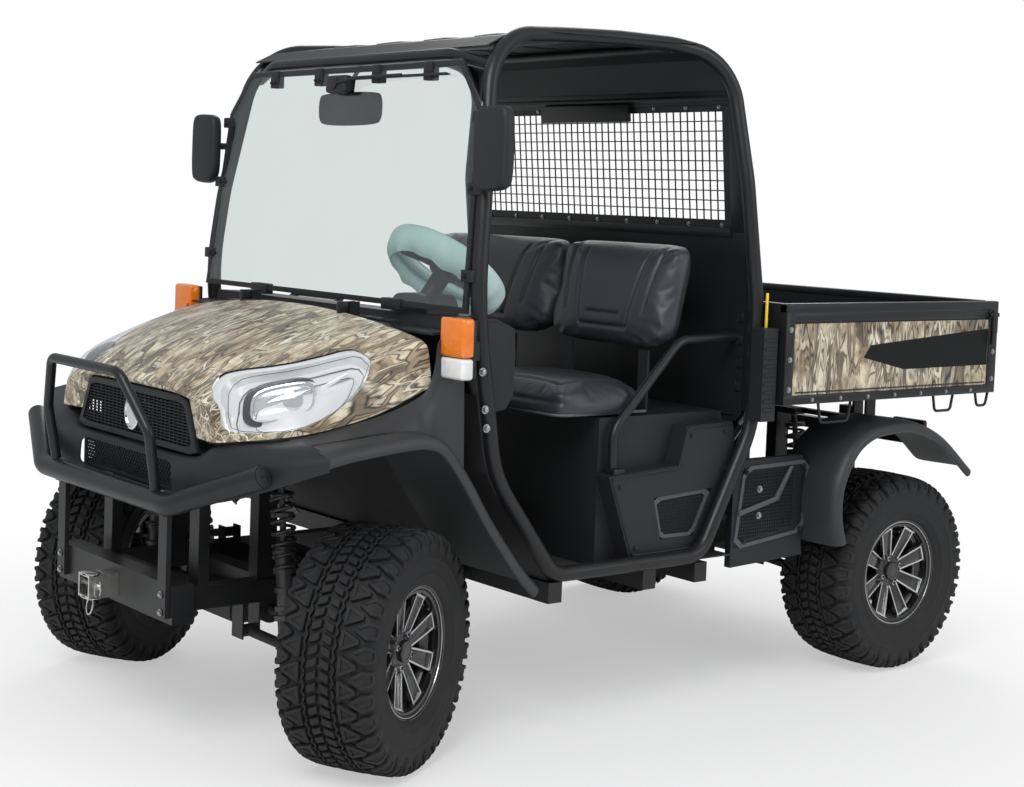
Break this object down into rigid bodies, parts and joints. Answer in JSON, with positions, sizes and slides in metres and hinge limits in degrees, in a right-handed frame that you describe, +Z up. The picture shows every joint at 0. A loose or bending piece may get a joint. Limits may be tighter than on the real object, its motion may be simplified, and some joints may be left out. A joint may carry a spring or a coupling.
{
  "type": "side by side utility vehicle",
  "caption": "Open two-seat off-road utility vehicle with a roll cage, steered front wheels, lifting hood and a tipping cargo bed with a tailgate.",
  "frame": {"origin": "on the ground, at the middle of the vehicle's overall length and width", "axes": "+X to the vehicle's left, +Y to its rear, +Z up"},
  "size_m": [1.7754, 2.953, 1.978],
  "materials": {
    "black_steel": "satin black powder coat",
    "black_plastic": "grained black moulding",
    "camo_panel": "printed woodland and reed pattern, satin",
    "lamp": "clear moulded lens",
    "amber_lens": "amber lens with a clear lower half",
    "screen_glass": "green tinted laminated glass",
    "tyre": "off-road tread rubber",
    "alloy": "gloss black with machined edges",
    "cast_iron": "painted casting",
    "steel": "bare machined steel",
    "zinc": "bright zinc plate",
    "spring": "black coil spring and damper",
    "vinyl": "dark grey sewn vinyl",
    "wheel_grip": "pale green wrapped rim",
    "floor_rubber": "ribbed black mat"
  },
  "bodies": {
    "chassis": {"axle_drives": "cast_iron", "brush_guard": "black_steel", "bumper_cover": "black_plastic", "cab_frame": "black_steel", "chassis_frame": "black_steel", "controls": "black_steel", "dash": "black_plastic", "engine_block": "cast_iron", "fenders": "black_plastic", "floor_pan": "floor_rubber", "front_bracket": "black_steel", "grilles": "black_plastic", "hitch_receivers": "zinc", "mirrors": "black_plastic", "rear_hub_carriers": "cast_iron", "rear_screen": "black_steel", "rear_wall": "black_steel", "roof": "black_plastic", "seat_backs": "vinyl", "seat_base": "black_plastic", "seat_cushions": "vinyl", "shock_absorbers": "spring", "side_panels": "black_plastic", "signal_lamps": "amber_lens", "steering_gear": "black_steel", "suspension_arms": "black_steel", "windscreen": "screen_glass", "windscreen_fittings": "black_plastic"},
    "hood": {"hood": "camo_panel", "headlights": "lamp"},
    "knuckle_left": {"knuckle_left": "cast_iron"},
    "knuckle_right": {"knuckle_right": "cast_iron"},
    "steering_rack": {"steering_rack": "steel"},
    "tie_rod_left": {"tie_rod_left": "steel"},
    "tie_rod_right": {"tie_rod_right": "steel"},
    "steering_wheel": {"steering_wheel": "wheel_grip"},
    "cargo_bed": {"cargo_bed": "black_steel", "bed_side_panels": "camo_panel"},
    "tailgate": {"tailgate": "black_steel"},
    "lift_cylinder": {"lift_cylinder": "black_steel"},
    "lift_rod": {"lift_rod": "steel"},
    "wheel_front_left": {"rim_front_left": "alloy", "tyre_front_left": "tyre"},
    "wheel_front_right": {"rim_front_right": "alloy", "tyre_front_right": "tyre"},
    "wheel_rear_left": {"rim_rear_left": "alloy", "tyre_rear_left": "tyre"},
    "wheel_rear_right": {"rim_rear_right": "alloy", "tyre_rear_right": "tyre"}
  },
  "joints": [
    {"name": "steer_left", "type": "hinge", "parent": "chassis", "child": "knuckle_left", "pos_m": [0.6045, -0.961, 0.3175], "axis": [0, 0, 1], "range_deg": [-59.6, 4.4]},
    {"name": "steer_right", "type": "hinge", "parent": "chassis", "child": "knuckle_right", "pos_m": [-0.6045, -0.961, 0.3175], "axis": [0, 0, 1], "range_deg": [-60.1, 4.9]},
    {"name": "rack_slide", "type": "slide", "parent": "chassis", "child": "steering_rack", "axis": [1, 0, 0], "range_m": [-0.0098, 0.108]},
    {"name": "tie_rod_left_swing", "type": "hinge", "parent": "steering_rack", "child": "tie_rod_left", "pos_m": [0.21335, -0.823, 0.3285], "axis": [0, 0, 1], "range_deg": [-1.06, 8.02]},
    {"name": "tie_rod_right_swing", "type": "hinge", "parent": "steering_rack", "child": "tie_rod_right", "pos_m": [-0.31065, -0.823, 0.3285], "axis": [0, 0, 1], "range_deg": [-1.15, 9.33]},
    {"name": "steering_wheel_turn", "type": "hinge", "parent": "chassis", "child": "steering_wheel", "pos_m": [0.33, -0.5035, 1.29], "axis": [0, 0.5948, 0.8039], "range_deg": [-958.6, 75.4]},
    {"name": "hood_lift", "type": "hinge", "parent": "chassis", "child": "hood", "pos_m": [0, -0.7905, 1.178], "axis": [-1, 0, 0], "range_deg": [0, 50]},
    {"name": "bed_tilt", "type": "hinge", "parent": "chassis", "child": "cargo_bed", "pos_m": [0, 1.3515, 0.858], "axis": [-1, 0, 0], "range_deg": [0, 47]},
    {"name": "tailgate_fold", "type": "hinge", "parent": "cargo_bed", "child": "tailgate", "pos_m": [0, 1.4645, 0.919], "axis": [-1, 0, 0], "range_deg": [0, 90]},
    {"name": "lift_pivot", "type": "hinge", "parent": "chassis", "child": "lift_cylinder", "pos_m": [0.168, 0.6215, 0.476], "axis": [1, 0, 0], "range_deg": [-0.5, 7.91]},
    {"name": "lift_extend", "type": "slide", "parent": "lift_cylinder", "child": "lift_rod", "axis": [0, 0.7015, 0.7126], "range_m": [-0.002, 0.2715]},
    {"name": "spin_front_left", "type": "hinge", "parent": "knuckle_left", "child": "wheel_front_left", "pos_m": [0.6045, -0.961, 0.3175], "axis": [0.8862, 0.4633, 0], "continuous": true},
    {"name": "spin_front_right", "type": "hinge", "parent": "knuckle_right", "child": "wheel_front_right", "pos_m": [-0.6045, -0.961, 0.3175], "axis": [0.8862, 0.4633, 0], "continuous": true},
    {"name": "spin_rear_left", "type": "hinge", "parent": "chassis", "child": "wheel_rear_left", "pos_m": [0.5615, 1.084, 0.3175], "axis": [1, 0, 0], "continuous": true},
    {"name": "spin_rear_right", "type": "hinge", "parent": "chassis", "child": "wheel_rear_right", "pos_m": [-0.5615, 1.084, 0.3175], "axis": [1, 0, 0], "continuous": true}
  ],
  "couplings": [
    {"joint": "steer_right", "follows": "steer_left", "ratio": 1},
    {"joint": "rack_slide", "follows": "steer_left", "m_per_rad": -0.10191},
    {"joint": "tie_rod_left_swing", "follows": "steer_left", "ratio": -0.12623},
    {"joint": "tie_rod_right_swing", "follows": "steer_left", "ratio": -0.1481},
    {"joint": "steering_wheel_turn", "follows": "steer_left", "ratio": 16},
    {"joint": "lift_pivot", "follows": "bed_tilt", "ratio": 0.14692},
    {"joint": "lift_extend", "follows": "bed_tilt", "m_per_rad": 0.32611}
  ]
}
